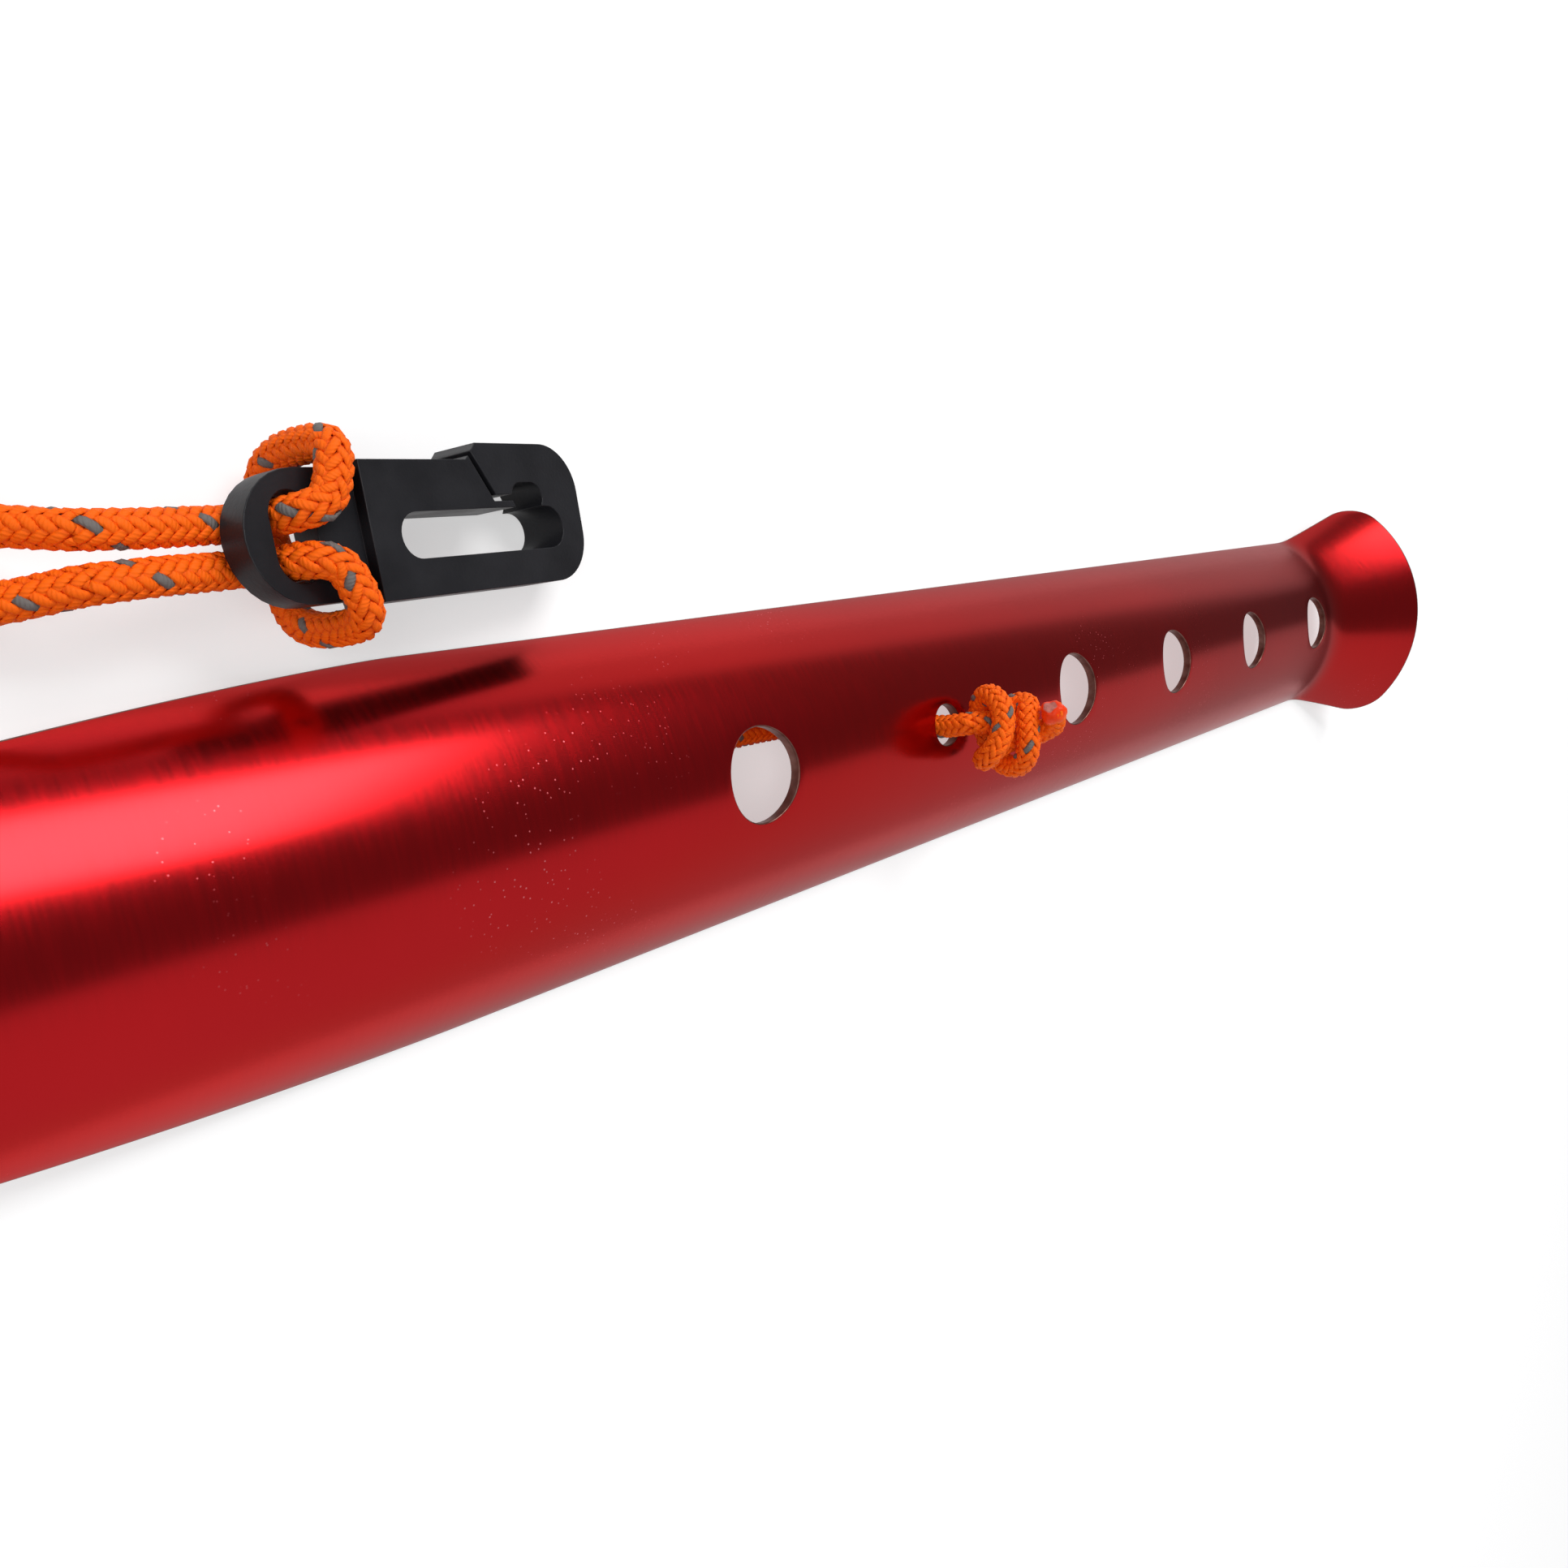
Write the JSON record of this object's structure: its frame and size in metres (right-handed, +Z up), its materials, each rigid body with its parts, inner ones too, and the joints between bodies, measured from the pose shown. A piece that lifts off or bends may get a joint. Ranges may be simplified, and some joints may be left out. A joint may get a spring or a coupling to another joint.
{
  "type": "snow peg",
  "caption": "Wide channel-section snow peg with a flared head, a row of crown holes, and a knotted guy cord that ends in a plastic cord hook.",
  "frame": {"origin": "on the surface the peg lies on, under the middle of the peg, below the cord hole", "axes": "+X to the flared head, +Y across the peg towards the cord hook, +Z up out of the rounded back"},
  "size_m": [0.3105, 0.0551, 0.0212],
  "materials": {
    "anodised_metal": "deep red satin anodising with a fine grain",
    "cord": "braided orange cord with small grey tracer stitches",
    "hook_plastic": "black moulded plastic, fine matt"
  },
  "bodies": {
    "peg": {"peg_body": "anodised_metal", "stopper_knot": "cord", "guy_cord": "cord", "loop_knot": "cord", "loop_strand": "cord"},
    "hook": {"cord_hook": "hook_plastic", "girth_hitch": "cord"}
  },
  "joints": [
    {"name": "hook_swing", "type": "hinge", "parent": "peg", "child": "hook", "pos_m": [-0.079, 0.0246, 0.0062], "axis": [0, 0, 1], "range_deg": [0, 80]}
  ]
}
